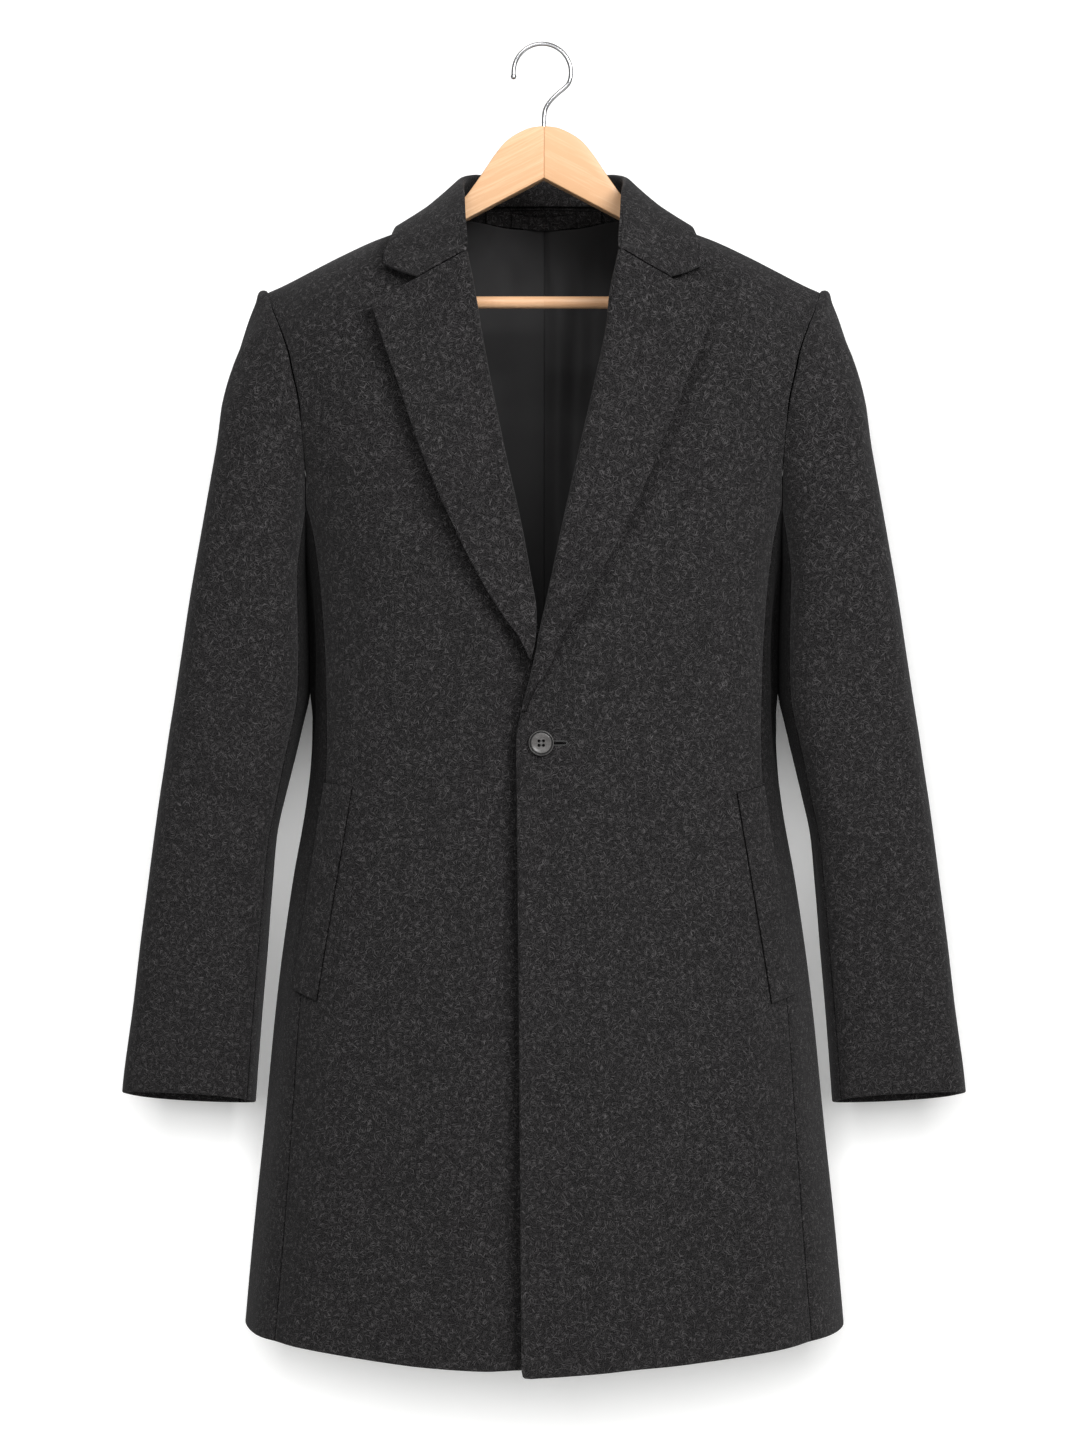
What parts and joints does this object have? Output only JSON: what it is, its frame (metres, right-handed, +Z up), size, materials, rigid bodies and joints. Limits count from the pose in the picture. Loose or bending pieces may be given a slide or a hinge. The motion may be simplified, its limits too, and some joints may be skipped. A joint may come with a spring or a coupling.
{
  "type": "wool overcoat on a wooden hanger",
  "caption": "Thigh-length wool overcoat with notched lapels, slanted welt pockets and a buttoned front, hanging on a curved wooden hanger with a wire hook.",
  "frame": {"origin": "underside of the hook's arch, where it rests on a peg or rail", "axes": "+Z up, the coat's front faces -Y, and the wearer's left is at +X"},
  "size_m": [0.6952, 0.2343, 1.0838],
  "materials": {
    "wool": "napped melange wool, dark charcoal with lighter fibres",
    "satin": "smooth satin lining with a soft sheen",
    "horn": "polished horn-like resin",
    "beech": "clear satin lacquer over light wood",
    "steel": "polished plated wire"
  },
  "bodies": {
    "root": {"front_left": "wool", "front_right": "wool", "side_left": "wool", "side_right": "wool", "back_left": "wool", "back_right": "wool", "top_sleeve_left_head": "wool", "top_sleeve_left_upper": "wool", "top_sleeve_left_lower": "wool", "top_sleeve_right_head": "wool", "top_sleeve_right_upper": "wool", "top_sleeve_right_lower": "wool", "under_sleeve_left": "wool", "under_sleeve_right": "wool", "lapel_left": "wool", "lapel_right": "wool", "collar": "wool", "pocket_welt_left": "wool", "pocket_welt_right": "wool", "neck_facing": "wool", "hanging_loop": "wool", "lining_back_left": "satin", "lining_back_right": "satin", "lining_side_left": "satin", "lining_side_right": "satin", "button": "horn", "hanger_arms": "beech", "hanger_bar": "beech", "hanger_hook": "steel"}
  },
  "joints": []
}
